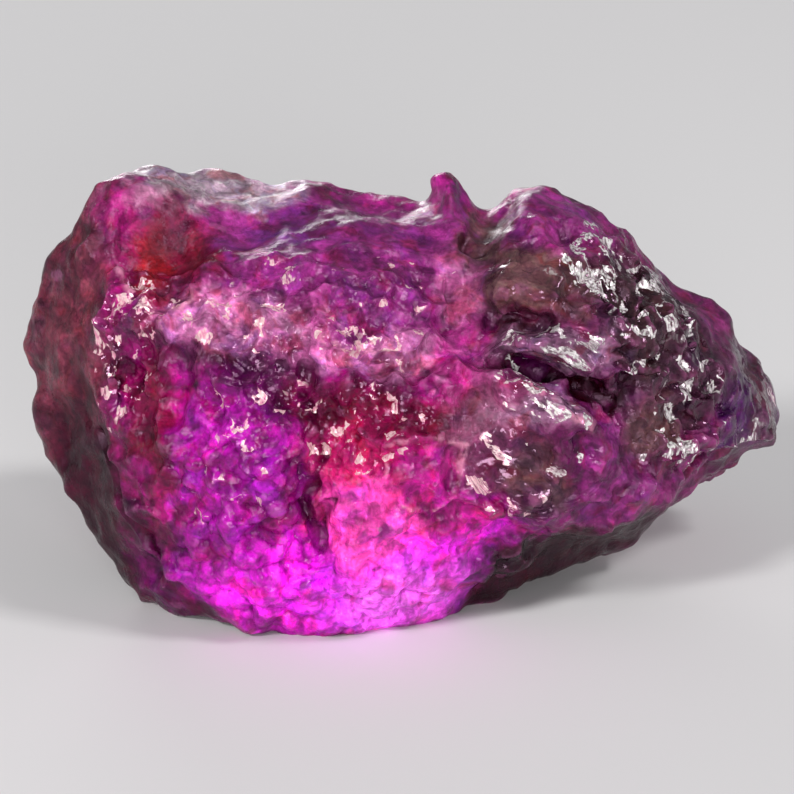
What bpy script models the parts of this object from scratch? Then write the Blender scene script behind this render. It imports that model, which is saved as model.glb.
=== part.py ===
"""Rough sapphire: one broken lump of corundum, resting on a flat fracture face.

The lump is blocked out by landmarks in millimetres: the outline that it shows along one
line of sight, and the corners of its faces on the near and the far side of that outline.
The blocked-out form is then broken up by three sizes of fracture and two sets of ledges,
its facets are thinned out to a light mesh, and the resting face is cut flat.

X runs along the lump, towards its thin end. Y runs from the near side to the far side.
Z is up, and the origin is in the middle of the base of the lump's box.
"""

import math

import bmesh
import bpy
import numpy as np
from mathutils import Vector, noise
from mathutils.geometry import delaunay_2d_cdt

MM = 0.001

# The outline and the two sides are drawn along a line that looks down by this angle.
SIGHT_DOWN = math.radians(20.0)

# Landmarks are (x, y, z) in millimetres, with z = 0 on the resting face.
# The outline runs once round the lump, clockwise from the top left corner.
OUTLINE = {
    "top left corner": [(-24, 4, 35.5), (-22, 6, 35), (-19.5, 7, 34.5)],
    "back edge of the top": [(-15, 9, 33.5), (-10, 9, 32.5), (-5, 9, 31.5), (2, 7, 32)],
    "spike": [(2, 6.5, 33.5), (3, 5.5, 35), (4, 5.5, 35), (5, 6.5, 33.5)],
    "notch": [(7, 8, 31), (8.5, 8, 31.5)],
    "hump": [(10, 7, 33), (11.5, 6, 33.5), (13.5, 7, 33)],
    "long slope": [(17, 8, 30.5), (21, 9, 26.5), (25, 10, 22.5), (28, 10, 20.5), (30.5, 10, 17)],
    "thin end": [(32.5, 9, 13.5), (33, 8.5, 11), (33, 7.5, 9)],
    "rising underside": [(30, 8, 7.5), (28, 9, 5.5), (25.5, 7, 4.5), (22.5, 4, 4), (20, 1, 3),
                         (16.5, -2, 2.5), (13, -4, 1.5), (9.5, -7, 2)],
    "front edge of the base": [(6.5, -6, 0), (2, -10, 0), (-1.5, -13, 0), (-6.5, -13.5, 0),
                               (-12.5, -13.5, 0), (-17, -10.5, 0), (-21.5, -8, 0)],
    "lower left flank": [(-24, -5.5, 1.5), (-26.5, -4, 5), (-29, -3, 8.5), (-31, -1, 12)],
    "left end": [(-32, 1, 14.5), (-32, 2, 18), (-32.5, 3, 21.5), (-31.5, 3, 25.5), (-29.5, 3, 29),
                 (-27, 3, 32.5), (-26, 3, 34.5)],
}

# The corners of the faces on the near side, inside that outline.
NEAR_SIDE = {
    "arris beside the left end": [(-24.5, 1, 34), (-24.5, -2, 31), (-24.5, -5, 28),
                                  (-25.5, -6.5, 24.5), (-26, -7, 20), (-25, -8, 17),
                                  (-24, -9.5, 13.5), (-23.5, -9.5, 9.5), (-21.5, -10.5, 7)],
    "left end": [(-28.5, -1, 25.5), (-29.5, -2, 18.5), (-28.5, -3, 13.5)],
    "scoop": [(-21.5, -1, 31.5), (-19.5, -5, 28)],
    "rim of the scoop": [(-22.5, -8, 27), (-20, -10, 26), (-15.5, -8.5, 28.5), (-17, -2.5, 31.5)],
    "front edge of the top": [(-21.5, 0, 35), (-17.5, 0, 32.5), (-13, 3, 32.5), (-8, 6, 32)],
    "upper face": [(-13.5, -5, 30), (-9, -5, 30.5), (-3.5, -3, 31), (1.5, -2, 30.5)],
    "shoulder": [(-17, -11, 27), (-12.5, -10.5, 27.5), (-8.5, -10.5, 27), (-6.5, -12, 24.5)],
    "centre block": [(-7, -8, 28.5), (-1.5, -7, 28), (2, -5, 27.5), (-4.5, -11.5, 25.5),
                     (0, -10.5, 25)],
    "under the lip of the centre block": [(-4, -10.5, 23.5), (0.5, -9.5, 23.5)],
    "front face": [(-21.5, -10, 22.5), (-19, -11.5, 20.5), (-13.5, -14, 22), (-8.5, -13, 21),
                   (-4.5, -14.5, 21), (1, -13.5, 21.5), (-21, -12.5, 16), (-16, -15.5, 15.5),
                   (-11.5, -16, 16.5), (-8, -14, 15.5), (-5, -15.5, 16.5)],
    "flat facet in the middle of the front": [(-1.5, -16, 18.5), (5, -15, 18), (4.5, -16.5, 13.5),
                                              (-0.5, -17, 13)],
    "belly": [(-19, -13, 10), (-14, -17, 10), (-10, -17, 12.5), (-7.5, -14.5, 9.5),
              (-4.5, -17, 10.5), (3.5, -16, 10.5), (8, -14, 10.5)],
    "lower front": [(-17, -14, 4.5), (-11, -16.5, 4.5), (-6, -16, 4.5), (-0.5, -16, 5.5),
                    (4, -14.5, 6)],
    "nub": [(3.5, 2, 34.5), (4, 0, 32.5), (4.5, -4, 30.5), (5, -7.5, 27.5), (5.5, -8, 25.5)],
    "groove beside the nub": [(2.5, 1.5, 31.5), (3.5, -4, 26.5), (3.5, -7, 24.5)],
    "valley under the notch": [(6.5, 2, 30), (6, -1, 29)],
    "hump": [(11, 0, 33), (8.5, -1, 31), (14.5, 0.5, 31.5)],
    "slab": [(8, -5, 30), (12.5, -5, 30.5), (7, -8, 28.5), (12.5, -9, 28), (15.5, -9, 26.5),
             (16.5, -3, 29.5), (17, -7, 27), (20, -3.5, 26.5), (24.5, 0, 23), (19.5, -7.5, 23.5),
             (25, -1.5, 21)],
    "recess under the slab": [(7.5, -6.5, 26), (11.5, -7, 25.5)],
    "upper lip of the slit": [(6.5, -11, 24.5), (10, -11, 25.5), (13, -11, 25), (16.5, -10, 22),
                              (20, -7, 21)],
    "floor of the slit": [(9.5, -8.5, 22.5), (13, -7, 20), (16, -7, 19)],
    "lower lip of the slit": [(7.5, -13.5, 23.5), (10.5, -14, 22), (13, -13.5, 20),
                              (16, -12.5, 18)],
    "front right block": [(7.5, -15, 19.5), (11.5, -15, 17), (7, -16, 15), (11.5, -14.5, 13),
                          (10.5, -13.5, 10), (14.5, -12.5, 11)],
    "right flank": [(18, -8.5, 18), (20.5, -6, 18), (17.5, -11.5, 14), (20, -10, 10.5),
                    (24, -3, 18.5), (27.5, -0.5, 18)],
    "ledge towards the thin end": [(21, -8.5, 14.5), (25, -5, 14), (29, 0.5, 12.5)],
    "face of the thin end": [(30, 2.5, 15), (31.5, 4, 12.5)],
    "underside": [(22.5, -4, 10), (26, 0.5, 10), (16.5, -8, 7.5), (12.5, -9, 6.5), (8, -11, 5.5),
                  (18.5, -4.5, 5.5)],
}

# The corners of the faces on the far side.
FAR_SIDE = {
    "back of the crest": [(3.5, 11, 31.5), (12, 12, 30)],
    "upper back": [(-23, 12, 26.5), (-16, 16.5, 26), (-9.5, 17, 24), (-2, 15, 26), (4, 14.5, 24),
                   (11, 13.5, 26), (17.5, 15, 20.5), (23.5, 14.5, 17), (28.5, 14, 12.5),
                   (32, 13, 10.5)],
    "middle back": [(-28, 10, 20), (-26.5, 12, 10), (-20.5, 18, 13.5), (-13, 20.5, 9),
                    (-6, 19.5, 12.5), (1.5, 21, 8.5), (8.5, 18.5, 12), (16, 19, 9),
                    (22.5, 14.5, 8.5)],
    "lower back": [(-24.5, 9, 3.5), (-19.5, 17.5, 3), (-9.5, 18.5, 2.5), (1.5, 17.5, 3.5),
                   (9.5, 15, 3), (16, 12.5, 4), (21, 10.5, 5.5)],
    "back edge of the base": [(-21, 3, 0), (-18, 10, 0), (-9.5, 13.5, 0), (-0.5, 12.5, 0),
                              (6.5, 8, 0), (10, 2.5, 0)],
}

# Fractures: distance between their middles, depth of the deepest, seed.
FRACTURES = [(8.0, 1.6, 11), (4.0, 1.5, 23), (2.2, 0.7, 37)]
# The share of a fractured surface that lies below the form the landmarks span.
BELOW_THE_FORM = 0.25
# How much a scoop tilts, how fast it rises from its middle, and how much the middles' depths differ.
SCOOP_TILT = 0.33
SCOOP_BOWL = 0.5
SCOOP_LEVELS = 0.35

# Parting ledges: direction across them, distance between them, height, seed.
PARTINGS = [((0.25, -0.1, 1.0), 4.6, 0.45, 5.3), ((0.9, 0.2, 0.5), 5.4, 0.4, 9.1)]
# A ledge leans out over this share of its pitch and drops back over the rest.
LEDGE_LEAN = 0.8
LEDGE_WAVINESS = 0.6
LEDGE_WAVE_LENGTH = 9.0
# Ledges show only in patches of about this size, with borders this sharp.
LEDGE_PATCH = 7.0
LEDGE_PATCH_EDGE = 6.0

# Mesh sizes: the form before and after it is broken up, and the facets that are left.
FORM_CELL = 0.4
BROKEN_CELL = 0.32
EDGE_WEAR = 0.5
EDGE_WEAR_PASSES = 3
FACETS = 9200

STONE_COLOUR = (0.27, 0.03, 0.24, 1.0)
STONE_ROUGHNESS = 0.35
STONE_IOR = 1.77


def points_of(groups):
    """All landmarks of some named groups, in order."""
    return [Vector(point) for group in groups.values() for point in group]


def along_sight(point):
    """Where a landmark appears to an eye that looks along the line of sight."""
    return Vector((point.x, point.y * math.sin(SIGHT_DOWN) + point.z * math.cos(SIGHT_DOWN)))


def add_side(mesh, rim, groups):
    """Triangles over the landmarks of one side, within the rim that both sides share."""
    corners = rim + [mesh.verts.new(point) for point in points_of(groups)]
    seen = [along_sight(corner.co) for corner in corners]
    border = [(i, (i + 1) % len(rim)) for i in range(len(rim))]
    inside_border = 1
    merge_distance = 1e-6
    found = delaunay_2d_cdt(seen, border, [], inside_border, merge_distance)
    triangles, origins = found[2], found[3]
    for triangle in triangles:
        mesh.faces.new([corners[origins[i][0]] for i in triangle])


def blocked_out():
    """The closed form that the landmarks span, as a mesh in millimetres."""
    mesh = bmesh.new()
    rim = [mesh.verts.new(point) for point in points_of(OUTLINE)]
    add_side(mesh, rim, NEAR_SIDE)
    add_side(mesh, rim, FAR_SIDE)
    bmesh.ops.recalc_face_normals(mesh, faces=mesh.faces)
    shape = bpy.data.meshes.new("blocked_out")
    mesh.to_mesh(shape)
    mesh.free()
    return shape


def modified(thing, *settings):
    """The mesh of an object after some modifiers, each given as its type and its values."""
    for kind, values in settings:
        modifier = thing.modifiers.new(kind.lower(), kind)
        for name, value in values.items():
            setattr(modifier, name, value)
    graph = bpy.context.evaluated_depsgraph_get()
    shape = bpy.data.meshes.new_from_object(thing.evaluated_get(graph))
    thing.modifiers.clear()
    return shape


def places(shape):
    """The vertices of a mesh as rows of x, y and z."""
    found = np.empty(len(shape.vertices) * 3, np.float32)
    shape.vertices.foreach_get("co", found)
    return found.reshape(-1, 3).astype(float)


def directions(shape):
    """The vertex normals of a mesh as rows of x, y and z."""
    found = np.empty(len(shape.vertices) * 3, np.float32)
    shape.vertex_normals.foreach_get("vector", found)
    return found.reshape(-1, 3).astype(float)


def raise_by(shape, height):
    """Moves each vertex of a mesh along its normal."""
    moved = places(shape) + directions(shape) * height[:, None]
    shape.vertices.foreach_set("co", moved.astype(np.float32).ravel())
    shape.update()


def scoops(points, spacing, seed):
    """The height of a surface of shallow, tilted scoops at some points, from 0 to about 1.

    Each cell of a grid holds the middle of one scoop. The lowest scoop wins, so that
    neighbours meet in a sharp arris, as conchoidal fractures do.
    """
    grid = points / spacing
    corner = np.floor(grid.min(0)).astype(int) - 1
    cells = np.ceil(grid.max(0)).astype(int) + 2 - corner
    chance = np.random.default_rng(seed)
    middles = chance.random((*cells, 3))
    tilts = chance.normal(0.0, SCOOP_TILT, (*cells, 3))
    levels = chance.random(tuple(cells)) * SCOOP_LEVELS
    home = np.floor(grid).astype(int) - corner
    lowest = np.full(len(points), np.inf)
    for step in np.ndindex(3, 3, 3):
        cell = tuple((home + np.array(step) - 1).T)
        offset = grid - corner - (np.array(cell).T + middles[cell])
        slope = (offset * tilts[cell]).sum(1)
        bowl = SCOOP_BOWL * (offset ** 2).sum(1)
        lowest = np.minimum(lowest, levels[cell] + slope + bowl)
    return lowest


def smooth_noise(points, size, seed=0.0):
    """Smooth noise from about -1 to 1, with lumps of about a given size."""
    shift = Vector((seed, 0.0, 0.0))
    return np.array([noise.noise(Vector(point) / size + shift) for point in points])


def ledges(points, across, pitch, seed):
    """Ledges from 0 to 1, in patches: each leans out, then drops back in a short step."""
    direction = np.array(Vector(across).normalized())
    wave = LEDGE_WAVINESS * smooth_noise(points, LEDGE_WAVE_LENGTH)
    along = (points @ direction / pitch + wave + seed) % 1.0
    profile = np.minimum(along / LEDGE_LEAN, (1.0 - along) / (1.0 - LEDGE_LEAN))
    patch = smooth_noise(points, LEDGE_PATCH, seed) * LEDGE_PATCH_EDGE / 2.0
    return profile * np.clip(patch, 0.0, 1.0)


def break_up(shape):
    """Fractures the surface, from the widest scoops to the smallest, then adds the ledges."""
    for spacing, depth, seed in FRACTURES:
        height = scoops(places(shape), spacing, seed)
        raise_by(shape, (height - np.quantile(height, BELOW_THE_FORM)) * depth)
    for across, pitch, height, seed in PARTINGS:
        step = ledges(places(shape), across, pitch, seed)
        raise_by(shape, (step - 0.5) * height)


def shells(mesh):
    """The groups of faces that hang together, the largest last."""
    found = []
    seen = set()
    for start in mesh.faces:
        if start in seen:
            continue
        seen.add(start)
        shell = [start]
        for face in shell:
            for other in (other for edge in face.edges for other in edge.link_faces):
                if other not in seen:
                    seen.add(other)
                    shell.append(other)
        found.append(shell)
    return sorted(found, key=len)


def cut_flat(shape):
    """Cuts the resting face flat at z = 0, drops loose chips and scales the lump to metres."""
    mesh = bmesh.new()
    mesh.from_mesh(shape)
    everything = mesh.verts[:] + mesh.edges[:] + mesh.faces[:]
    bmesh.ops.bisect_plane(mesh, geom=everything, plane_co=(0, 0, 0), plane_no=(0, 0, 1),
                           clear_inner=True)
    chips = [face for shell in shells(mesh)[:-1] for face in shell]
    bmesh.ops.delete(mesh, geom=chips, context="FACES")
    bmesh.ops.holes_fill(mesh, edges=[edge for edge in mesh.edges if edge.is_boundary])
    bmesh.ops.triangulate(mesh, faces=[face for face in mesh.faces if len(face.verts) > 3])
    bmesh.ops.scale(mesh, vec=(MM, MM, MM), verts=mesh.verts)
    bmesh.ops.recalc_face_normals(mesh, faces=mesh.faces)
    mesh.to_mesh(shape)
    mesh.free()


def centre_over_origin(shape):
    """Moves the lump so that the origin is in the middle of the base of its box."""
    found = places(shape)
    middle = (found.min(0) + found.max(0)) / 2.0
    moved = found - np.array((middle[0], middle[1], found[:, 2].min()))
    shape.vertices.foreach_set("co", moved.astype(np.float32).ravel())
    shape.update()


def stone():
    """The stone's own colour and polish."""
    material = bpy.data.materials.new("sapphire")
    material.use_nodes = True
    shader = material.node_tree.nodes["Principled BSDF"]
    shader.inputs["Base Color"].default_value = STONE_COLOUR
    shader.inputs["Roughness"].default_value = STONE_ROUGHNESS
    shader.inputs["IOR"].default_value = STONE_IOR
    shader.inputs["Metallic"].default_value = 0.0
    return material


def rough_sapphire():
    """The whole lump, as one closed solid."""
    lump = bpy.data.objects.new("rough_sapphire", blocked_out())
    bpy.context.scene.collection.objects.link(lump)
    even_mesh = ("REMESH", {"mode": "VOXEL", "voxel_size": FORM_CELL})
    worn_edges = ("SMOOTH", {"factor": EDGE_WEAR, "iterations": EDGE_WEAR_PASSES})
    lump.data = modified(lump, even_mesh, worn_edges)
    break_up(lump.data)
    lump.data = modified(lump, ("REMESH", {"mode": "VOXEL", "voxel_size": BROKEN_CELL}))
    triangles = 2 * len(lump.data.polygons)
    lump.data = modified(lump, ("DECIMATE", {"ratio": FACETS / triangles}))
    cut_flat(lump.data)
    centre_over_origin(lump.data)
    lump.data.materials.append(stone())
    return lump


def main():
    for thing in list(bpy.data.objects):
        bpy.data.objects.remove(thing, do_unlink=True)
    rough_sapphire()


main()
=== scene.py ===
"""The looks of the rough sapphire: fine fractures, grains and ledges on its solid, and its colours.

The solid from the frame is copied, given an even fine mesh and broken up further by region.
The material is procedural. Its colour zones sit at named places on the stone, in millimetres in
the frame's own axes: +X towards the thin end, +Y away from the near side, +Z up.
"""

import math

import bmesh
import bpy
import numpy as np
from mathutils import Euler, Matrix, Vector, noise


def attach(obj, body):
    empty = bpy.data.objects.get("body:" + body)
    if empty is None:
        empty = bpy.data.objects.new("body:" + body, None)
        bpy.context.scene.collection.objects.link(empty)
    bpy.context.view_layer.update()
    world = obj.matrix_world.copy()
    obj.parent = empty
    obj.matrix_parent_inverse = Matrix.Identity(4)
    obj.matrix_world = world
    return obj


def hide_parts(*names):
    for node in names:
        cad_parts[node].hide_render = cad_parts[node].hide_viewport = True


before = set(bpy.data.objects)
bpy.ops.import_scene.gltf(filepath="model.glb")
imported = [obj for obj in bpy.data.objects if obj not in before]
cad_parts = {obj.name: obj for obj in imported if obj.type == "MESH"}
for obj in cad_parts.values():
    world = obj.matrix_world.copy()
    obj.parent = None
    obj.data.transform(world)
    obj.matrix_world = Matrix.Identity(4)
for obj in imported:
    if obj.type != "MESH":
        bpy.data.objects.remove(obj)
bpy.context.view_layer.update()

NODE = "rough_sapphire"
MM = 0.001

# --- Camera: it looks along +Y and down, from where the stone's 66 mm fill the picture. ---
CAMERA_DOWN = math.radians(20.0)
CAMERA_DISTANCE = 300.0
CAMERA_TARGET = Vector((-0.7, -2.2, 16.4))
PICTURE_WIDTH = 68.1
SENSOR_WIDTH = 36.0

# --- Fine mesh: its cells in millimetres, then its size, its smoothing and its sharp edges. ---
FINE_CELL = 0.18
MOST_TRIANGLES = 190000
SOFTENING = 120
SHARP_ANGLE = math.radians(18.0)

# --- Relief, in millimetres: how far apart its cells lie, and how high each kind stands. ---
WIDE_SPACING = (3.4, 3.4, 3.4)
FINE_SPACING = (1.5, 1.5, 1.5)
CHIP_SPACING = (0.8, 0.8, 0.8)
GRAIN_SPACING = (1.4, 1.4, 1.4)
FIBRE_SPACING = (0.7, 0.7, 3.2)
WIDE_HEIGHT = 2.1
FINE_HEIGHT = 0.55
CHIP_HEIGHT = 0.2
FLAKED_CHIP_HEIGHT = 0.35
RIPPLE_HEIGHT = 0.2
GRAIN_DEPTH = 0.8
FIBRE_DEPTH = 0.3
STEP_HEIGHT = 0.8
STEP_PITCH = 3.0
PATH_SWAY = 0.25

# The seed of Blender's noise, which would otherwise come from the clock.
NOISE_SEED = 1


def linear(red, green, blue):
    """A colour given in sRGB, 0 to 255, as Blender's linear RGBA."""
    def channel(value):
        share = value / 255.0
        return share / 12.92 if share <= 0.04045 else ((share + 0.055) / 1.055) ** 2.4
    return (channel(red), channel(green), channel(blue), 1.0)


# ---------------------------------------------------------------------------------------
# Relief, in numpy: heights in millimetres at points in millimetres
# ---------------------------------------------------------------------------------------

def places(shape):
    """The vertices of a mesh as rows of x, y and z."""
    found = np.empty(len(shape.vertices) * 3, np.float32)
    shape.vertices.foreach_get("co", found)
    return found.reshape(-1, 3).astype(float)


def directions(shape):
    """The vertex normals of a mesh as rows of x, y and z."""
    found = np.empty(len(shape.vertices) * 3, np.float32)
    shape.vertex_normals.foreach_get("vector", found)
    return found.reshape(-1, 3).astype(float)


def raise_by(shape, height):
    """Moves each vertex of a mesh along its normal."""
    moved = places(shape) + directions(shape) * height[:, None]
    shape.vertices.foreach_set("co", moved.astype(np.float32).ravel())
    shape.update()


def cells(points, spacing, seed, height_at, reach=1):
    """The lowest of the surfaces that the cells around each point hold.

    Each cell of a grid holds a middle, a random tilt and a random level between 0 and 1.
    height_at turns a point's offset from the middle, the tilt and the level into a height.
    Cells up to reach away are tried. Returns the lowest height, how far the next one lies
    above it, and a tone from 0 to 1 that is the same all over one cell's surface.
    """
    grid = points / np.array(spacing)
    corner = np.floor(grid.min(0)).astype(int) - reach
    size = np.ceil(grid.max(0)).astype(int) + 1 + reach - corner
    chance = np.random.default_rng(seed)
    middles = chance.random((*size, 3))
    tilts = chance.uniform(-1.0, 1.0, (*size, 3))
    levels = chance.random(tuple(size))
    tones = chance.random(tuple(size))
    home = np.floor(grid).astype(int) - corner
    lowest = np.full(len(points), np.inf)
    second = lowest.copy()
    tone = np.zeros(len(points))
    across = 2 * reach + 1
    for step in np.ndindex(across, across, across):
        cell = tuple((home + np.array(step) - reach).T)
        offset = grid - corner - (np.array(cell).T + middles[cell])
        height = height_at(offset, tilts[cell], levels[cell])
        wins = height < lowest
        second = np.where(wins, lowest, np.minimum(second, height))
        lowest = np.where(wins, height, lowest)
        tone = np.where(wins, tones[cell], tone)
    return lowest - lowest.mean(), second - lowest, tone


def facet(offset, tilt, level):
    """A flat tilted facet that turns up beyond its reach: neighbours meet in sharp arrises."""
    beyond = np.maximum(np.sqrt((offset ** 2).sum(1)) - 0.7, 0.0)
    return 0.35 * level + 0.6 * (offset * tilt).sum(1) + 2.5 * beyond ** 2


def bowl(offset, tilt, level):
    """A round bowl. Turned upside down, bowls make rounded grains with sharp valleys."""
    return 0.15 * level + (offset ** 2).sum(1)


def terraces(points, across, pitch, phase):
    """Ledges from 0 to 1: each leans out slowly, then drops back in a short step."""
    share = (points @ np.array(Vector(across).normalized()) / pitch + phase) % 1.0
    return np.minimum(share / 0.8, (1.0 - share) / 0.2)


def wander(points, size, seed):
    """A smooth random shift for each point, of up to about 1 in each axis, with lumps of a size."""
    noise.seed_set(NOISE_SEED)
    start = Vector((seed, 0.0, 0.0))
    return np.array([noise.noise_vector(Vector(point) / size + start) for point in points])


def membership(points, regions, sway):
    """How far points belong to any of some ellipsoids, 0 to 1, with a border that sways."""
    belongs = np.zeros(len(points))
    for middle, radii in regions:
        distance = np.linalg.norm((points - np.array(middle)) / np.array(radii), axis=1)
        share = np.clip((1.15 + 0.3 * sway - distance) / 0.3, 0.0, 1.0)
        belongs = np.maximum(belongs, share)
    return belongs


def along(points, path, width):
    """How near points are to a path, from 1 on it to 0 a width away."""
    nearest = np.full(len(points), np.inf)
    for start, end in zip(path, path[1:]):
        start, run = np.array(start), np.array(end) - np.array(start)
        share = np.clip((points - start) @ run / (run @ run), 0.0, 1.0)
        gap = points - start - share[:, None] * run
        nearest = np.minimum(nearest, (gap ** 2).sum(1))
    return np.maximum(1.0 - np.sqrt(nearest) / width, 0.0)


# Regions with a relief of their own: middles and radii in millimetres.
SMOOTH = [((-31, 1, 19), (8, 15, 18)), ((-25, -4, 8), (7, 9, 9)), ((-16, 1, 32), (12, 9, 5)),
          ((-3, 0, 31), (14, 9, 5)), ((5, -9, 29), (2.5, 4, 4)), ((12, 3, 32), (7, 6, 5)),
          ((27, 5, 24), (10, 8, 8)), ((32, 4, 14), (5, 8, 8)), ((-4, -14, 1), (20, 9, 3.5)),
          ((20, -4, 5), (12, 10, 6))]
GRAINS = [((-14, -18, 10), (8, 6, 9)), ((-5, -18, 4), (14, 5, 5))]
FIBRES = [((-3.5, -19, 12), (4, 4, 7)), ((3, -18, 8), (6, 4, 4))]
STEPS = [((19, -6, 25), (9, 7, 6)), ((24, -5, 16), (7, 6, 5))]

# Fields of small chips in the relief and of painted glints in the colour: middle, radii, and how thick with
# them: 0 for none, 1 for many.
CHIP_AND_GLINT_FIELDS = {
    "arris beside the left end": ((-23, -9, 23.5), (3.2, 4, 7.5), 1.0),
    "rim of the scoop": ((-19, -11, 27), (4, 3, 2), 0.6),
    "shoulder": ((-12, -13, 26), (7, 4, 3), 0.6),
    "lip of the centre block": ((-3, -13, 25), (5, 3, 2), 0.7),
    "dark left front": ((-12, -16, 21), (5, 4, 4), 0.5),
    "middle of the front": ((-3, -17, 19), (6, 4, 4), 0.7),
    "violet front": ((-14, -18, 15), (6, 4, 5), 0.35),
    "front of the upper face": ((-4, -9, 29), (10, 4, 2.5), 0.45),
    "ledge of the thin end": ((28, -1, 12.3), (5, 5, 1.1), 0.9),
    "back of the left end": ((-22, 13, 22), (4, 5, 6), 0.7),
    "middle of the back": ((2, 17, 24), (7, 5, 3), 0.6),
}
STEPS_ACROSS = (0.35, -0.2, 1.0)
CELL_TURN = np.array(Euler((0.5, 0.4, 0.6)).to_matrix())

# Glassy shards and striations: middle, radii, which way their long side runs, width, length,
# height, and how thick with painted glints.
SHARDS = {
    "glassy face": ((15.8, -5, 29), (2.6, 6.5, 3.2), (0.1, -0.3, 1.0), 0.7, 2.8, 0.5, 1.7),
    "dark glassy face": ((22, -3, 25), (4.2, 8, 3.6), (-0.3, -0.3, 1.0), 0.8, 1.7, 0.5, 1.1),
    "slab": ((10.5, -8, 29.5), (3.5, 4, 2.5), (1.0, -0.2, -0.1), 0.9, 3.0, 0.2, 0.2),
    "ledges beside the slit": ((18, -10.5, 23), (4.5, 4, 2.5), (1.0, 0.3, -0.2), 0.6, 2.2, 0.4, 0.7),
    "upper lip of the slit": ((13, -12.5, 24.2), (5, 3, 2), (1.0, 0.1, -0.5), 0.45, 4.0, 0.35, 1.0),
    "lower lip of the slit": ((11.5, -15.5, 21.5), (5, 3, 2.0), (0.8, -0.1, -0.6), 0.45, 4.0, 0.4, 1.3),
    "front right block": ((10, -16, 16), (5.5, 4, 4.5), (0.7, 0.1, -0.7), 0.6, 2.0, 0.4, 0.5),
    "thin end": ((25.5, -7, 17), (5, 5, 5), (0.4, 0.1, 1.0), 0.8, 1.8, 0.5, 0.8),
    "glassy patch of the back": ((14, 14, 22), (6, 5, 5), (0.5, 0.2, 1.0), 0.8, 2.4, 0.5, 0.9),
    "right edge": ((31.5, 3, 16), (3, 6, 6), (0.1, 0.1, 1.0), 0.6, 1.6, 0.25, 0.4),
}

# Lips and ledges that stand out, and creases, each a path over the near side: width, height, path.
LIPS = {
    "rim of the scoop": (0.8, 0.5, [(-24.5, -5, 30), (-23.5, -7.5, 28.5), (-21, -10.5, 27),
                                    (-19.5, -12, 26), (-18.5, -11, 27), (-17, -10, 28)]),
    "arris beside the left end": (0.9, 0.35, [(-24.5, -0.5, 35), (-24.5, -2.5, 33), (-24.5, -4, 30.5)]),
    "lip of the centre block": (0.8, 0.7, [(-7, -14, 26), (-5.5, -15, 25.5), (-4, -14, 24.5),
                                           (-2, -13, 24.5), (-1, -13, 24.5), (0.5, -12.5, 24)]),
    "top of the centre block": (0.8, 0.3, [(-8.5, -8, 30.5), (-6, -6.5, 31), (-3.5, -5.5, 31),
                                           (-0.5, -5, 30.5), (2, -5.5, 29.5)]),
    "rim of the flat facet": (0.6, 0.35, [(-1.5, -18.5, 15.5), (-1.5, -18, 18), (0.5, -18, 18.5),
                                          (3, -18, 18.5), (5, -17, 17.5), (4.5, -17.5, 15.5),
                                          (4, -18.5, 13.5), (2, -18, 12), (0, -19.5, 13),
                                          (-1.5, -18.5, 15.5)]),
    "upper lip of the slit": (0.8, 0.35, [(9.5, -13.5, 25.3), (12.5, -13.5, 24.5), (15, -12.5, 23),
                                         (17, -11, 21.5)]),
    "lower lip of the slit": (0.9, 0.5, [(9.5, -15.2, 22.4), (11.5, -16, 21.5), (12.5, -16.5, 20.5),
                                         (14, -16, 19.5), (15, -15, 18.5)]),
    "upper glassy ledge": (0.6, 0.6, [(14.5, -12.5, 25), (17, -11.5, 24.5), (19.5, -10, 24)]),
    "lower glassy ledge": (0.6, 0.6, [(16, -12, 22.5), (18.5, -10, 22), (21.5, -8.5, 21)]),
    "far glassy ledge": (0.6, 0.5, [(19.5, -6.5, 26.5), (22, -5, 25), (24.5, -1, 22.5)]),
    "ledge of the thin end": (0.7, 0.6, [(20.5, -11.5, 14.5), (22.5, -9, 14), (25, -7, 14),
                                         (28.5, 0, 11.7), (32, 3.5, 10.7)]),
    "foot of the front right block": (0.6, 0.5, [(5.5, -18, 13), (7, -17, 12), (8.5, -16.5, 12),
                                                 (10, -17, 12.5), (11.5, -16.5, 13)]),
}
PALE_AND_HIGHLIT_LIPS = ("rim of the scoop", "rim of the flat facet", "lip of the centre block",
             "lower lip of the slit")
CHIP_AND_GLINT_LIPS = ("lip of the centre block", "upper lip of the slit", "lower lip of the slit",
               "upper glassy ledge", "lower glassy ledge", "ledge of the thin end",
               "foot of the front right block")
CREASES = {
    "slit": (1.0, 0.7, [(7.5, -13, 23.7), (9.5, -11.5, 22.5), (12, -11, 21), (14.5, -9.5, 19.5),
                        (16.5, -10, 18.5)]),
    "right end of the slit": (1.2, 0.9, [(12.5, -10.5, 20.8), (14.5, -9.7, 19.9), (17.2, -10, 19)]),
    "dark V": (0.8, 1.0, [(-8.5, -17, 12.5), (-7.5, -16.5, 10.5), (-7, -16.5, 8.5), (-7, -17, 11),
                          (-6, -18.5, 13.5)]),
    "crease of the left flank": (0.7, 0.7, [(-25.5, -8, 15.5), (-24.5, -11, 13), (-24, -11.5, 11),
                                            (-23, -12.5, 9), (-21, -13.5, 6.5)]),
    "crack down the front": (0.5, 0.5, [(-8.5, -15.5, 21.5), (-7, -16.5, 19), (-6.5, -16.5, 16.5),
                                        (-7.5, -17, 14), (-8.5, -17, 12.5)]),
    "hole behind the nub": (1.3, 1.4, [(5.5, -4, 30.5), (5.5, -3.5, 31)]),
}

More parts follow.
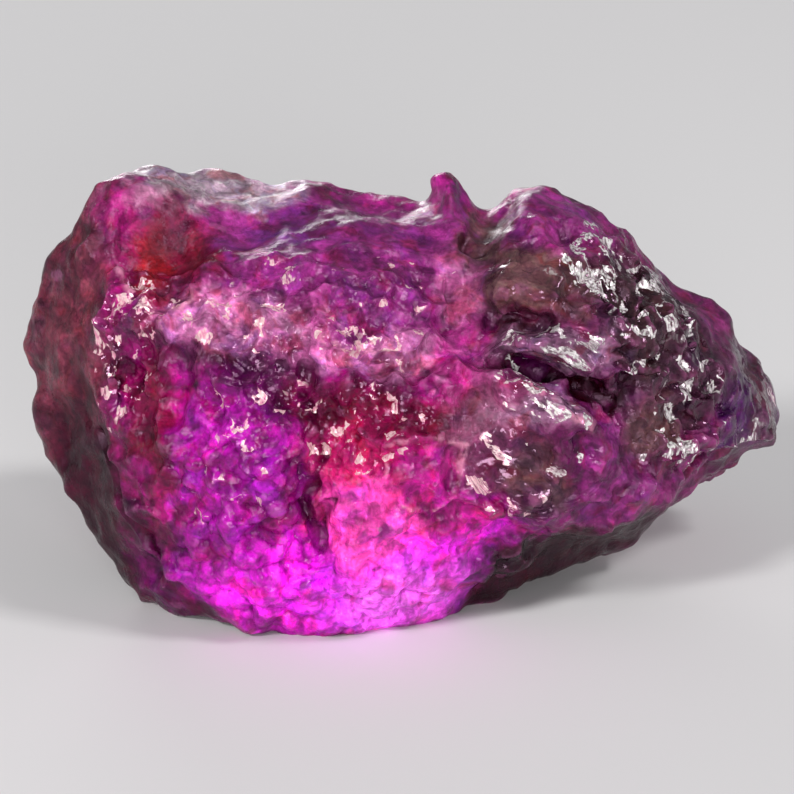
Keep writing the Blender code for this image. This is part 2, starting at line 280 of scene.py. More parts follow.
# Broad swells and dips that bring the outline nearer to the picture's: width, height, path.
SWELLS = {
    "top behind the scoop": (3.5, 0.8, [(-20.5, 5, 34.8), (-18.5, 8, 34.3)]),
    "back edge of the top": (3.0, -0.5, [(-15, 9, 33.7), (-9.9, 9, 32.7), (-4.8, 9, 32)]),
    "notch": (3.0, -0.9, [(6.8, 5, 31.5), (8, 9, 31.3)]),
    "right underside": (3.5, 0.9, [(8, -8, 2), (13, -4, 2), (17, -2, 2.8)]),
    "underside of the thin end": (3.0, 0.6, [(27.5, 6, 7), (30, 8, 8), (33, 8, 10)]),
    "bulge of the left end": (4.0, 1.1, [(-30.5, -1, 13), (-30.5, -1, 10)]),
    "top of the left end": (4.0, -1.1, [(-28.5, 3, 31.5), (-26.5, 3, 34)]),
    "slope above the thin end": (3.0, -0.5, [(27, 10, 21), (28.5, 10, 20)]),
    "edge of the thin end": (3.0, 0.5, [(30.7, 10, 17), (33, 8, 12)]),
    "front of the foot": (3.0, 0.9, [(-9, -13.5, 1), (-2, -13, 1), (3, -11, 1.5)]),
}


def marks(points, paths):
    """The height that some paths add, and how near the points are to any of them."""
    height = np.zeros(len(points))
    near = np.zeros(len(points))
    for width, rise, path in paths.values():
        share = along(points, path, width)
        height += rise * share
        near = np.maximum(near, share)
    return height, near


def swelling(points):
    """The height of the broad swells and dips."""
    height = np.zeros(len(points))
    for width, rise, path in SWELLS.values():
        share = along(points, path, width)
        height += rise * share ** 2 * (3.0 - 2.0 * share)
    return height


def splinters(points, sway):
    """The height of the shards, how far points belong to them, their painted glints and their tones."""
    height, near, thick, tone = np.zeros((4, len(points)))
    for middle, radii, direction, width, length, rise, flakes in SHARDS.values():
        turn = np.array(Vector(direction).to_track_quat("Z", "Y").to_matrix())
        shard, _, own_tone = cells(points @ turn, (width, 1.6 * width, length), 10, facet)
        share = membership(points, [(middle, radii)], sway)
        height += rise * share * shard
        tone = np.where(share > near, own_tone, tone)
        near = np.maximum(near, share)
        thick = np.maximum(thick, flakes * share)
    return height, near, thick, tone


def chip_and_glint_fields(points, sway):
    """How thick points are with chips and painted glints, in their fields and along some lips."""
    thick = 1.6 * marks(points, {name: LIPS[name] for name in CHIP_AND_GLINT_LIPS})[1]
    for middle, radii, flakes in CHIP_AND_GLINT_FIELDS.values():
        thick = np.maximum(thick, flakes * membership(points, [(middle, radii)], sway))
    return thick


def keep(shape, name, values):
    """Stores a value for each vertex, for the material to read."""
    layer = shape.attributes.new(name, "FLOAT", "POINT")
    layer.data.foreach_set("value", values.astype(np.float32))


def break_up(shape):
    """Adds the fine relief, region by region, and keeps what the material needs to know of it."""
    points = places(shape)
    sway = wander(points, 2.5, 3.0)[:, 0]
    ripple = wander(points, 1.3, 9.0)
    smooth, grains, fibres, steps = [membership(points, regions, sway)
                                     for regions in (SMOOTH, GRAINS, FIBRES, STEPS)]
    flakes = chip_and_glint_fields(points, sway)
    shards, near_shard, shard_flakes, shard_tone = splinters(points, sway)

    turned = points @ CELL_TURN
    wide, _, wide_tone = cells(turned, WIDE_SPACING, 5, facet, 2)
    fine, _, fine_tone = cells(turned, FINE_SPACING, 6, facet, 2)
    chips, _, chip_tone = cells(turned, CHIP_SPACING, 7, facet)
    grain, valley, _ = cells(turned, GRAIN_SPACING, 8, bowl)
    fibre, _, _ = cells(points, FIBRE_SPACING, 9, bowl)
    ledges = terraces(points, STEPS_ACROSS, STEP_PITCH, 0.5 * wide_tone + 0.6 * sway)
    shifted = points + PATH_SWAY * ripple
    lips, _ = marks(shifted, LIPS)
    _, near_pale_and_highlit_lip = marks(shifted, {name: LIPS[name] for name in PALE_AND_HIGHLIT_LIPS})
    creases, near_crease = marks(shifted, CREASES)

    near_side = 1.0 - 0.5 * np.clip((points[:, 1] - 4.0) / 6.0, 0.0, 1.0)
    calm = (1.0 - 0.8 * smooth) * (1.0 - 0.6 * grains) * (1.0 - 0.6 * steps) * (1.0 - 0.7 * near_shard)
    height = WIDE_HEIGHT * calm * wide
    height += FINE_HEIGHT * near_side * calm * (1.0 + 0.8 * flakes) * fine
    height += (CHIP_HEIGHT * near_side + FLAKED_CHIP_HEIGHT * flakes) * (1.0 - smooth) * chips
    height += RIPPLE_HEIGHT * smooth * ripple[:, 1]
    height -= GRAIN_DEPTH * grains * (1.0 - 0.6 * fibres) * grain
    height -= FIBRE_DEPTH * fibres * fibre
    height += STEP_HEIGHT * steps * (ledges - 0.5) + shards
    height += swelling(points) + lips - creases
    raise_by(shape, height)

    keep(shape, "wide_tone", wide_tone)
    keep(shape, "fine_tone", fine_tone)
    keep(shape, "chip_tone", np.where(near_shard > 0.5, shard_tone, chip_tone))
    # For the material: valleys and creases get painted shade, and lips get pale lines that are partly painted
    # highlight.
    keep(shape, "valley", grains * np.exp(-valley / 0.08))
    keep(shape, "lip", near_pale_and_highlit_lip)
    keep(shape, "crease", near_crease)
    keep(shape, "smooth", smooth)
    keep(shape, "glassy", np.maximum(near_shard, flakes))
    keep(shape, "chip_and_glint_fields", np.maximum(shard_flakes, flakes))


# ---------------------------------------------------------------------------------------
# The stone's mesh
# ---------------------------------------------------------------------------------------

def modified(thing, *settings):
    """The mesh of an object after some modifiers, each given as its type and its values."""
    for kind, values in settings:
        modifier = thing.modifiers.new(kind.lower(), kind)
        for name, value in values.items():
            setattr(modifier, name, value)
    graph = bpy.context.evaluated_depsgraph_get()
    shape = bpy.data.meshes.new_from_object(thing.evaluated_get(graph))
    thing.modifiers.clear()
    return shape


def solid_in_mm():
    """The frame's solid with its facets joined, in millimetres."""
    mesh = bmesh.new()
    mesh.from_mesh(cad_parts[NODE].data)
    bmesh.ops.remove_doubles(mesh, verts=mesh.verts, dist=0.001 * MM)
    bmesh.ops.scale(mesh, vec=(1.0 / MM, 1.0 / MM, 1.0 / MM), verts=mesh.verts)
    shape = bpy.data.meshes.new("stone")
    mesh.to_mesh(shape)
    mesh.free()
    return shape


def shells(mesh):
    """The groups of faces that hang together, the largest last."""
    found = []
    seen = set()
    for start in mesh.faces:
        if start in seen:
            continue
        seen.add(start)
        shell = [start]
        for face in shell:
            for other in (other for edge in face.edges for other in edge.link_faces):
                if other not in seen:
                    seen.add(other)
                    shell.append(other)
        found.append(shell)
    return sorted(found, key=len)


def cut_flat(shape):
    """Cuts the resting face flat at z = 0, drops loose chips and scales the stone to metres."""
    mesh = bmesh.new()
    mesh.from_mesh(shape)
    everything = mesh.verts[:] + mesh.edges[:] + mesh.faces[:]
    bmesh.ops.bisect_plane(mesh, geom=everything, plane_co=(0, 0, 0), plane_no=(0, 0, 1),
                           clear_inner=True)
    chips = [face for shell in shells(mesh)[:-1] for face in shell]
    bmesh.ops.delete(mesh, geom=chips, context="FACES")
    bmesh.ops.holes_fill(mesh, edges=[edge for edge in mesh.edges if edge.is_boundary])
    bmesh.ops.triangulate(mesh, faces=[face for face in mesh.faces if len(face.verts) > 3])
    bmesh.ops.scale(mesh, vec=(MM, MM, MM), verts=mesh.verts)
    bmesh.ops.recalc_face_normals(mesh, faces=mesh.faces)
    mesh.to_mesh(shape)
    mesh.free()


def soften(piece):
    """Rounds off the solid's own facets where the stone is smooth."""
    points = places(piece.data)
    share = membership(points, SMOOTH, np.zeros(len(points)))
    group = piece.vertex_groups.new(name="smooth")
    for level in range(1, 11):
        chosen = np.flatnonzero(np.round(share * 10.0) == level)
        group.add(chosen.tolist(), level / 10.0, "REPLACE")
    piece.data = modified(piece, ("SMOOTH", {"factor": 0.6, "iterations": SOFTENING,
                                             "vertex_group": "smooth"}))
    piece.vertex_groups.clear()


def stone():
    """The visible stone, in place of its plain solid."""
    piece = bpy.data.objects.new("sapphire_stone", solid_in_mm())
    bpy.context.scene.collection.objects.link(piece)
    cell = FINE_CELL
    piece.data = modified(piece, ("REMESH", {"mode": "VOXEL", "voxel_size": cell}),
                          ("SMOOTH", {"factor": 0.5, "iterations": 3}))
    soften(piece)
    break_up(piece.data)
    triangles = 2 * len(piece.data.polygons)
    share = min(1.0, MOST_TRIANGLES / triangles)
    piece.data = modified(piece, ("DECIMATE", {"ratio": share}))
    cut_flat(piece.data)
    piece.data.shade_smooth()
    piece.data.set_sharp_from_angle(angle=SHARP_ANGLE)
    piece.data.materials.append(sapphire())
    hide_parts(NODE)
    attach(piece, "root")
    return piece


# ---------------------------------------------------------------------------------------
# Material
# ---------------------------------------------------------------------------------------

MAROON_GREY = linear(98, 36, 52)
DEEP_MAROON = linear(46, 0, 16)
CRIMSON = linear(112, 8, 42)
CRIMSON_STREAK = linear(104, 4, 48)
RASPBERRY = linear(200, 26, 104)
PINK_GLOW = linear(255, 70, 184)
PURPLE = linear(124, 34, 102)
MAGENTA = linear(168, 14, 120)
PAINTED_GLOW_MAGENTA = linear(254, 30, 238)
PALE_GLOW = linear(255, 96, 248)
VIOLET = linear(172, 16, 156)
DARK_PURPLE = linear(80, 2, 62)
DUSKY = linear(108, 32, 84)
PALE_PINK = linear(190, 106, 158)
BROWN_GREY = linear(90, 56, 60)
DARK_BROWN = linear(52, 30, 34)
DARK_RED = linear(34, 0, 10)
MAUVE = linear(116, 60, 86)
LILAC_GREY = linear(130, 88, 116)
LILAC_DUSK = linear(82, 44, 68)
DUSK = linear(58, 26, 44)
ORANGE_RED = linear(144, 22, 32)
INK_VIOLET = linear(62, 4, 72)
PAINTED_SHEEN = linear(172, 146, 162)
VIOLET_BLUE = linear(114, 36, 118)
PAINTED_RECESS_SHADE = linear(66, 12, 38)
DUSTY_PINK = linear(154, 72, 122)
PALE_RIM_AND_HIGHLIGHT = linear(216, 140, 166)
PAINTED_GLINT_CREAM = linear(232, 200, 200)
PAINTED_GLINT_SILVER = linear(230, 226, 224)
DIM_PAINTED_GLINT_GREY = linear(128, 112, 118)

# Dark tints, by which a colour is multiplied: one for the veins, one for painted shade in hollows.
VEIN_TINT = (0.4, 0.2, 0.35, 1.0)
PAINTED_SHADE_TINT = (0.35, 0.15, 0.3, 1.0)

# Marbling in drifts of violet, crimson, dark and pale: size (mm), where in the noise, tint.
DRIFTS = [(3.0, 11.0, (0.75, 0.8, 1.15, 1.0)), (2.4, 23.0, (0.95, 0.45, 0.4, 1.0)),
          (1.6, 37.0, (0.4, 0.3, 0.45, 1.0)), (1.1, 51.0, (1.25, 1.7, 1.35, 1.0))]

# How far each fracture's own tone darkens or lightens it.
TONES = [("wide_tone", 0.8, 1.2), ("fine_tone", 0.65, 1.35), ("chip_tone", 0.75, 1.25)]

# Fine dark veins: size of the cells that they run between (mm), width in cells, strength.
VEINS = [(2.4, 0.04, 0.35), (1.1, 0.06, 0.25)]

GLINT_SIZE = 0.6
GLASSY_ROUGHNESS = 0.08
GLINT_ROUGHNESS = 0.1
PAINTED_GLINT_ROUGHNESS = 0.3
REFLECTION_TINT = (1.0, 0.6, 0.88, 1.0)
BUMP_DEPTH = 0.4 * MM

# The grain of the block below the slit runs down to the right, by this turn about Y.
SLANT = math.radians(-57.0)

# Colour zones, from the widest to the smallest: what it is, middle, radii (mm), colour, softness.
ZONES = [
    ("right half", (20, -4, 17), (14.5, 16, 19), DUSKY, 0.3),
    ("dusky back", (-2, 20, 18), (30, 14, 16), DUSKY, 0.4),
    ("violet drift of the back", (-14, 17, 22), (9, 8, 6), PURPLE, 0.6),
    ("crimson drift of the back", (5, 17, 20), (7, 8, 8), CRIMSON, 0.5),
    ("brown drift of the back", (18, 13, 19), (7, 8, 5), BROWN_GREY, 0.5),
    ("pale drift of the back", (-5, 19, 12), (9, 7, 3), MAUVE, 0.6),
    ("foot of the back", (-2, 15, 2), (24, 9, 6), DARK_PURPLE, 0.4),
    ("left end", (-31, 5, 20), (8.5, 24, 22), MAROON_GREY, 0.3),
    ("lower left flank", (-26, -5, 7), (6.5, 9, 11), DEEP_MAROON, 0.3),
    ("back of the foot", (-20, -14, 3), (5, 6, 5), DARK_PURPLE, 0.35),
    ("upper face", (-6, -4, 31), (16, 9, 6), PURPLE, 0.3),
    ("violet-blue patch of the upper face", (-10, -3, 31.5), (4, 3, 2), VIOLET_BLUE, 0.5),
    # Painted sheen: a pale strip along the top, where light from behind glances off it.
    ("painted sheen along the top", (-16.5, 3, 34.2), (9, 5, 1.8), PAINTED_SHEEN, 0.4),
    ("scoop", (-20, -4, 30), (3.8, 6, 4.6), CRIMSON, 0.5),
    ("crimson beside the scoop", (-17.3, -6, 29.5), (2.2, 4, 2.6), CRIMSON, 0.5),
    ("shoulder", (-13, -12, 26.5), (8, 5, 2.2), PALE_PINK, 0.5),
    ("dark middle of the left front", (-12, -16, 21.5), (6, 5, 3.5), DARK_PURPLE, 0.4),
    ("violet front", (-15, -18, 15), (6, 6, 7), VIOLET, 0.35),
    ("red streak", (-21, -13, 18), (2.2, 6, 8), CRIMSON_STREAK, 0.5),
    # Painted glow: the light that shines up through the stone from below is painted into its colour along the
    # foot, brightest at its heart.
    ("painted glow along the foot", (-1, -17, 5), (16, 8, 5), PAINTED_GLOW_MAGENTA, 0.4),
    ("heart of the painted glow", (1, -17, 3), (7, 5, 4), PALE_GLOW, 0.5),
    ("crimson middle", (-4, -17, 19.5), (6, 5, 3), CRIMSON_STREAK, 0.6),
    ("raspberry middle", (-2.5, -19, 15.5), (4.5, 5, 4), RASPBERRY, 0.5),
    # Painted glow of the light from below, as along the foot.
    ("painted pink glow below the raspberry middle", (-3, -19, 11), (4, 5, 4), PINK_GLOW, 0.5),
    ("centre block", (-2, -11, 27), (6, 5, 4), PURPLE, 0.3),
    # Painted highlight: the glints along the lip of the centre block, as a pale band.
    ("painted highlight along the lip of the centre block", (-2, -13.5, 24.2), (7.5, 4, 1.3), PALE_PINK, 0.6),
    ("crimson above the flat facet", (3, -17, 20), (4.5, 4, 2.6), CRIMSON_STREAK, 0.6),
    ("flat facet", (2, -19, 15.5), (3.6, 4, 3), MAGENTA, 0.2),
    ("slab", (11, -8, 29), (6, 5, 3), BROWN_GREY, 0.35),
    ("glassy ledges", (20, -5, 24), (8, 8, 6), DARK_BROWN, 0.35),
    ("front right block", (8, -16, 19), (4.5, 5, 4.5), MAUVE, 0.5),
    ("shaded side of the front right block", (12, -15, 15), (6, 5, 4), DARK_PURPLE, 0.5),
    # Painted shade: the recess under the slab, the slit and its right end darkened.
    ("recess", (10.5, -10, 26), (4, 3, 1.3), PAINTED_RECESS_SHADE, 0.4),
    ("slit", (12, -10.5, 21.5), (5, 3, 2.2), DARK_PURPLE, 0.4),
    ("right end of the slit", (15.5, -10, 19.8), (3, 2.5, 1.4), DARK_RED, 0.4),
    # Partly painted highlight: the pale lilac-grey of the slit's upper lip and the face above stands in for
    # their glints, over their own lilac tone.
    ("upper lip of the slit", (12, -13, 25), (5, 3, 1.3), LILAC_GREY, 0.5),
    ("pale face above the slit", (14.6, -11.5, 23.2), (3, 3, 1.6), LILAC_GREY, 0.5),
    ("brown patch of the front right block", (10.7, -15.5, 14.5), (3, 3, 3), BROWN_GREY, 0.5),
    # Partly painted highlight too: the lower lip's glinting band, over its own lilac tone.
    ("lower lip of the slit", (12, -16, 20.5), (4.5, 3, 1.5), LILAC_GREY, 0.5),
    # Painted shade: the underside of the overhanging right part, darkened.
    ("right underside", (15, -10, 4), (12, 10, 5.5), DARK_RED, 0.25),
    # Partly painted shade: the right flank darkened, over its own dark brown.
    ("dark right flank", (24.5, -5, 19.5), (5, 6, 4.5), DUSK, 0.5),
    ("violet patch", (17.5, -13, 13.5), (3, 4, 4.5), PURPLE, 0.4),
    ("brown patch above the ledge", (21.5, -10, 16.5), (4, 4, 2.6), BROWN_GREY, 0.4),
    ("thin end", (31, 2, 14), (5, 8, 8), LILAC_DUSK, 0.35),
    ("ink patch on the thin end", (28.5, -1, 14.5), (3, 3, 3), INK_VIOLET, 0.4),
    ("hump", (12, -1, 33), (6, 5, 4), PURPLE, 0.35),
    ("nub", (4.8, -7, 28.7), (1.6, 4, 3.4), DUSTY_PINK, 0.5),
    ("brown hollow beside the nub", (6.7, -3, 31), (1.8, 5, 2.6), BROWN_GREY, 0.4),
    ("orange streak in the scoop", (-20.9, -5.5, 29.6), (1.0, 4.5, 3.4), ORANGE_RED, 0.6),
]

# Where the painted glints are silver and not cream: the right half, as middle and radii.
SILVER_GLINT_ZONE = ((22, -4, 21), (19, 18, 15))


def add(tree, kind, inputs=(), **settings):
    """A shader node with its settings, and its inputs set to values or joined to sockets."""
    node = tree.nodes.new(kind)
    for name, value in settings.items():
        setattr(node, name, value)
    for name, value in dict(inputs).items():
        if isinstance(value, bpy.types.NodeSocket):
            tree.links.new(value, node.inputs[name])
        else:
            node.inputs[name].default_value = value
    return node


def mixed(tree, factor, first, second, blend="MIX"):
    """Two colours mixed by a factor."""
    node = add(tree, "ShaderNodeMix", {0: factor, 6: first, 7: second},
               data_type="RGBA", blend_type=blend)
    return node.outputs[2]


def mixed_number(tree, factor, first, second):
    """Two numbers mixed by a factor."""
    return add(tree, "ShaderNodeMix", {0: factor, 2: first, 3: second}, data_type="FLOAT").outputs[0]


def calculated(tree, operation, first, second=0.0):
    """One sum on numbers."""
    return add(tree, "ShaderNodeMath", {0: first, 1: second}, operation=operation).outputs[0]


def ramped(tree, value, start, end, low=0.0, high=1.0):
    """A value taken smoothly from one range to another."""
    settings = {"Value": value, "From Min": start, "From Max": end, "To Min": low, "To Max": high}
    node = add(tree, "ShaderNodeMapRange", settings, interpolation_type="SMOOTHSTEP")
    return node.outputs["Result"]


def cloud(tree, place, size, detail=3.0, output="Fac"):
    """Soft noise with lumps of a size in millimetres."""
    settings = {"Vector": place, "Scale": 1.0 / size, "Detail": detail, "Roughness": 0.55}
    return add(tree, "ShaderNodeTexNoise", settings).outputs[output]


def wandered(tree, place, size, reach):
    """A place moved about by noise, so that borders wander."""
    shift = add(tree, "ShaderNodeVectorMath", {0: cloud(tree, place, size, 2.0, "Color"), 1: (0.5, 0.5, 0.5)},
                operation="SUBTRACT").outputs[0]
    node = add(tree, "ShaderNodeVectorMath", {0: shift, 1: (reach, reach, reach), 2: place},
               operation="MULTIPLY_ADD")
    return node.outputs[0]


def in_zone(tree, place, middle, radii, softness):
    """How far a place lies in an ellipsoid, from 0 to 1."""
    local = add(tree, "ShaderNodeMapping", {"Vector": place, "Location": middle, "Scale": radii},
                vector_type="TEXTURE").outputs[0]
    distance = add(tree, "ShaderNodeVectorMath", {0: local}, operation="LENGTH").outputs["Value"]
    return ramped(tree, distance, 1.0 + softness, 1.0 - softness)


def streaked(tree, place):
    """A place squeezed along the grain, so that what is drawn there comes out as streaks.

    The grain stands upright but for the block below the slit, where it runs down to the right.
    """
    upright, slanted = [
        add(tree, "ShaderNodeMapping", {"Vector": place, "Rotation": (0.0, angle, 0.0),
                                        "Scale": (1.0, 1.0, 2.5)}, vector_type="TEXTURE").outputs[0]
        for angle in (0.0, SLANT)]
    block = in_zone(tree, place, (11, -15, 19), (7, 6, 8), 0.1)
    return mixed(tree, block, upright, slanted)


def cell_edges(tree, place, size):
    """How far a place is from the edge of its cell, in cells."""
    settings = {"Vector": place, "Scale": 1.0 / size}
    return add(tree, "ShaderNodeTexVoronoi", settings, feature="DISTANCE_TO_EDGE").outputs["Distance"]


def facets(tree, place, size):
    """The height of small flat facets that each tilt their own way."""
    scaled = add(tree, "ShaderNodeVectorMath", {0: place, "Scale": 1.0 / size}, operation="SCALE").outputs[0]
    cell = add(tree, "ShaderNodeTexVoronoi", {"Vector": scaled, "Scale": 1.0}, feature="F1")
    offset = add(tree, "ShaderNodeVectorMath", {0: scaled, 1: cell.outputs["Position"]},
                 operation="SUBTRACT").outputs[0]
    tilt = add(tree, "ShaderNodeVectorMath", {0: cell.outputs["Color"], 1: (0.5, 0.5, 0.5)},
               operation="SUBTRACT").outputs[0]
    return add(tree, "ShaderNodeVectorMath", {0: offset, 1: tilt}, operation="DOT_PRODUCT").outputs["Value"]


def kept(tree, name):
    """A value that the stone's mesh keeps for each vertex."""
    return add(tree, "ShaderNodeAttribute", attribute_name=name).outputs["Fac"]


def tinted(tree, factor, colour, tint):
    """A colour multiplied by a tint, as far as a factor says."""
    return mixed(tree, factor, colour, mixed(tree, 1.0, colour, tint, "MULTIPLY"))


def zoned(tree, place, loose):
    """The stone's colour zones, over two ground colours."""
    colour = mixed(tree, ramped(tree, cloud(tree, place, 5.0), 0.4, 0.6), MAGENTA, DARK_PURPLE)
    for _, middle, radii, zone_colour, softness in ZONES:
        factor = in_zone(tree, loose, middle, radii, softness)
        colour = mixed(tree, factor, colour, zone_colour)
    return colour


def marbled(tree, place, wide, colour):
    """A colour with drifts, each fracture's own tone and a fine speckle."""
    for size, start, tint in DRIFTS:
        moved = add(tree, "ShaderNodeVectorMath", {0: wide, 1: (start, 0.0, 0.0)}).outputs[0]
        drift = ramped(tree, cloud(tree, moved, size, 4.0), 0.5, 0.66, 0.0, 0.7)
        colour = tinted(tree, drift, colour, tint)
    for name, low, high in TONES:
        shade = ramped(tree, kept(tree, name), 0.0, 1.0, low, high)
        colour = mixed(tree, 1.0, colour, shade, "MULTIPLY")
    speckle = ramped(tree, cloud(tree, place, 0.45, 4.0), 0.35, 0.65, 0.8, 1.2)
    return mixed(tree, 1.0, colour, speckle, "MULTIPLY")


def veined_and_shaded(tree, loose, bend, colour):
    """A colour with fine dark veins, and with painted shade in hollows, creases and valleys."""
    for size, width, strength in VEINS:
        vein = ramped(tree, cell_edges(tree, loose, size), 0.0, width, strength, 0.0)
        colour = tinted(tree, vein, colour, VEIN_TINT)
    # Painted shade: hollows darkened.
    colour = tinted(tree, ramped(tree, bend, 0.49, 0.44, 0.0, 0.6), colour, PAINTED_SHADE_TINT)
    # Painted shade: creases and the valleys between grains darkened.
    for name, strength, shade_colour in (("crease", 0.8, DARK_RED), ("valley", 0.55, DARK_PURPLE)):
        dark = calculated(tree, "MULTIPLY", kept(tree, name), strength)
        colour = mixed(tree, dark, colour, shade_colour)
    return colour


def worn_and_highlit(tree, place, bend, colour):
    """A colour with convex edges lightened, partly worn pale and partly painted highlight, and pale lines
    along some lips, partly their own pale rims and partly painted highlight.
    """
    patches = cloud(tree, place, 1.2)
    edge = ramped(tree, bend, 0.51, 0.57, 0.0, 0.25)
    pale = calculated(tree, "MULTIPLY", edge, ramped(tree, patches, 0.4, 0.6, 0.2, 1.0))
    colour = mixed(tree, pale, colour, PALE_PINK)
    lip = ramped(tree, kept(tree, "lip"), 0.3, 1.0, 0.0, 0.7)
    pale = calculated(tree, "MULTIPLY", lip, ramped(tree, patches, 0.42, 0.6))
    return mixed(tree, pale, colour, PALE_RIM_AND_HIGHLIGHT)


def with_painted_glints(tree, place, grain, colour):
    """A colour with painted glints on it, and where they are.

    They are pale flecks, painted where glassy facets catch the light: the facets with the highest
    tones, more of them where they lie thick.
    """
    thick = calculated(tree, "MULTIPLY", kept(tree, "chip_and_glint_fields"), 0.3)
    painted_glint = ramped(tree, calculated(tree, "ADD", kept(tree, "chip_tone"), thick), 1.0, 1.05)
    painted_glint = calculated(tree, "MULTIPLY", painted_glint, ramped(tree, cloud(tree, grain, 0.5, 3.0), 0.38, 0.5))
    silver = in_zone(tree, place, *SILVER_GLINT_ZONE, 0.2)
    shade = ramped(tree, cloud(tree, grain, 0.25), 0.38, 0.6)
    dull = mixed(tree, silver, PALE_RIM_AND_HIGHLIGHT, DIM_PAINTED_GLINT_GREY)
    bright = mixed(tree, silver, PAINTED_GLINT_CREAM, PAINTED_GLINT_SILVER)
    return mixed(tree, painted_glint, colour, mixed(tree, shade, dull, bright)), painted_glint


def roughened(tree, place, grain, glassy, painted_glint):
    """How rough the stone is: dull, with small glassy facets, glassy regions and the painted glints."""
    cell = add(tree, "ShaderNodeTexVoronoi", {"Vector": grain, "Scale": 1.0 / GLINT_SIZE}, feature="F1")
    chance = add(tree, "ShaderNodeSeparateColor", {"Color": cell.outputs["Color"]}).outputs[0]
    glint = calculated(tree, "SUBTRACT", ramped(tree, chance, 0.62, 0.72), kept(tree, "smooth"))
    rough = ramped(tree, cloud(tree, place, 1.8, 4.0), 0.35, 0.65, 0.25, 0.5)
    rough = mixed_number(tree, glint, rough, GLINT_ROUGHNESS)
    rough = mixed_number(tree, glassy, rough, GLASSY_ROUGHNESS)
    return mixed_number(tree, painted_glint, rough, PAINTED_GLINT_ROUGHNESS)


def bumped(tree, place, grain, glassy):
    """The normal of the stone, with a fine grit and small facets that each tilt their own way."""
    grit = add(tree, "ShaderNodeBump", {"Height": cloud(tree, place, 0.5, 6.0), "Distance": BUMP_DEPTH,
                                        "Strength": mixed_number(tree, glassy, 0.3, 0.08)})
    flakes = add(tree, "ShaderNodeBump", {"Height": facets(tree, grain, GLINT_SIZE),
                                          "Distance": BUMP_DEPTH,
                                          "Strength": mixed_number(tree, glassy, 0.25, 0.45),
                                          "Normal": grit.outputs[0]})
    return flakes.outputs[0]


def sapphire():
    """Purple to magenta corundum, with its zones, veins, grains and glassy facets, and with painted glow,
    shade, sheen and glints.
    """
    material = bpy.data.materials.new("sapphire")
    material.use_nodes = True
    tree = material.node_tree
    metres = add(tree, "ShaderNodeTexCoord").outputs["Object"]
    place = add(tree, "ShaderNodeVectorMath", {0: metres, "Scale": 1.0 / MM}, operation="SCALE").outputs[0]
    wide = wandered(tree, place, 4.0, 6.0)
    loose = wandered(tree, wide, 1.0, 1.6)
    grain = streaked(tree, place)
    bend = add(tree, "ShaderNodeNewGeometry").outputs["Pointiness"]
    glassy = kept(tree, "glassy")

    colour = zoned(tree, place, loose)
    colour = marbled(tree, place, wide, colour)
    colour = veined_and_shaded(tree, loose, bend, colour)
    colour = worn_and_highlit(tree, place, bend, colour)
    colour, painted_glint = with_painted_glints(tree, place, grain, colour)

    shader = tree.nodes["Principled BSDF"]
    tree.links.new(colour, shader.inputs["Base Color"])
    tree.links.new(roughened(tree, place, grain, glassy, painted_glint), shader.inputs["Roughness"])
    tree.links.new(calculated(tree, "MULTIPLY", painted_glint, 0.3), shader.inputs["Metallic"])
    tree.links.new(bumped(tree, place, grain, glassy), shader.inputs["Normal"])
    shader.inputs["IOR"].default_value = 1.77
    shader.inputs["Specular IOR Level"].default_value = 0.2
    shader.inputs["Specular Tint"].default_value = REFLECTION_TINT
    shader.inputs["Subsurface Weight"].default_value = 0.12
    shader.inputs["Subsurface Radius"].default_value = (1.0, 0.25, 0.8)
    shader.inputs["Subsurface Scale"].default_value = 0.8 * MM
    return material


# ---------------------------------------------------------------------------------------
# Stage, light and camera
# ---------------------------------------------------------------------------------------

FLOOR_REACH = 3.0
FLOOR_COLOUR = (0.7, 0.69, 0.69, 1.0)

# Soft lights: name, place, width and height, in metres, and power in watts.
SOFTBOXES = [
    ("low_window_behind", (-0.25, 1.1, 0.28), (0.45, 0.26), 4.0),
    ("soft_left_front", (-0.7, -0.75, 0.75), (0.22, 0.22), 8.0),
    ("low_front", (0.15, -1.1, 0.22), (0.5, 0.25), 8.0),
    ("soft_upper_right", (0.65, -0.25, 0.8), (0.18, 0.18), 4.0),
]
LIT_POINT = (0.0, 0.0, 0.016)
ROOM_COLOUR = (0.95, 0.95, 1.0, 1.0)
ROOM_STRENGTH = 0.25


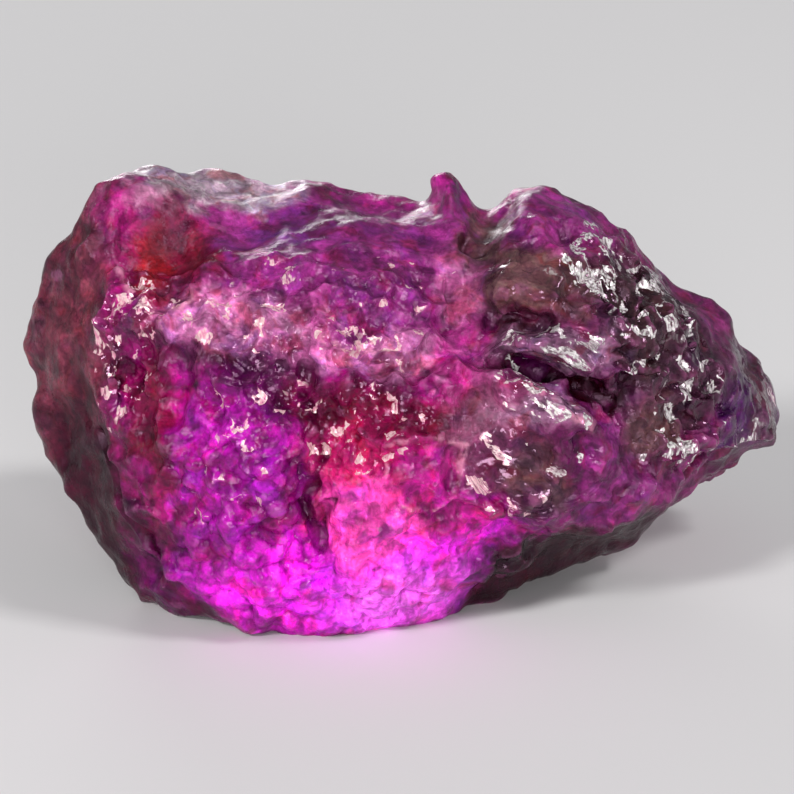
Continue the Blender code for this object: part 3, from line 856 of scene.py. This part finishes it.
def floor():
    """A plain pale floor."""
    reach = FLOOR_REACH
    corners = [(-reach, -reach, 0), (reach, -reach, 0), (reach, reach, 0), (-reach, reach, 0)]
    shape = bpy.data.meshes.new("floor")
    shape.from_pydata(corners, [], [(0, 1, 2, 3)])
    thing = bpy.data.objects.new("floor", shape)
    bpy.context.scene.collection.objects.link(thing)
    material = bpy.data.materials.new("pale_floor")
    material.use_nodes = True
    shader = material.node_tree.nodes["Principled BSDF"]
    shader.inputs["Base Color"].default_value = FLOOR_COLOUR
    shader.inputs["Roughness"].default_value = 0.9
    shader.inputs["Specular IOR Level"].default_value = 0.1
    shape.materials.append(material)


def softbox(name, place, size, power):
    """A soft rectangular light, so wide and so high, that faces the stone."""
    light = bpy.data.lights.new(name, "AREA")
    light.shape = "RECTANGLE"
    light.size, light.size_y = size
    light.energy = power
    thing = bpy.data.objects.new(name, light)
    thing.location = place
    thing.rotation_mode = "QUATERNION"
    thing.rotation_quaternion = (Vector(place) - Vector(LIT_POINT)).to_track_quat("Z", "Y")
    bpy.context.scene.collection.objects.link(thing)


def lights():
    """A low window behind, soft lights in front and at the upper right, and a dim even room."""
    for box in SOFTBOXES:
        softbox(*box)
    world = bpy.data.worlds.new("room")
    bpy.context.scene.world = world
    world.use_nodes = True
    room = world.node_tree.nodes["Background"]
    room.inputs["Color"].default_value = ROOM_COLOUR
    room.inputs["Strength"].default_value = ROOM_STRENGTH


def camera():
    """The camera at the viewing angle of the picture, with the stone filling its width."""
    lens = bpy.data.cameras.new("camera")
    lens.sensor_width = SENSOR_WIDTH
    lens.lens = SENSOR_WIDTH * CAMERA_DISTANCE / PICTURE_WIDTH
    lens.clip_start = 0.01
    lens.clip_end = 20.0
    thing = bpy.data.objects.new("camera", lens)
    back = Vector((0.0, -math.cos(CAMERA_DOWN), math.sin(CAMERA_DOWN)))
    thing.location = (CAMERA_TARGET + back * CAMERA_DISTANCE) * MM
    thing.rotation_mode = "QUATERNION"
    thing.rotation_quaternion = back.to_track_quat("Z", "Y")
    bpy.context.scene.collection.objects.link(thing)
    bpy.context.scene.camera = thing


bpy.context.scene.view_settings.view_transform = "Standard"
camera()
floor()
lights()
stone()
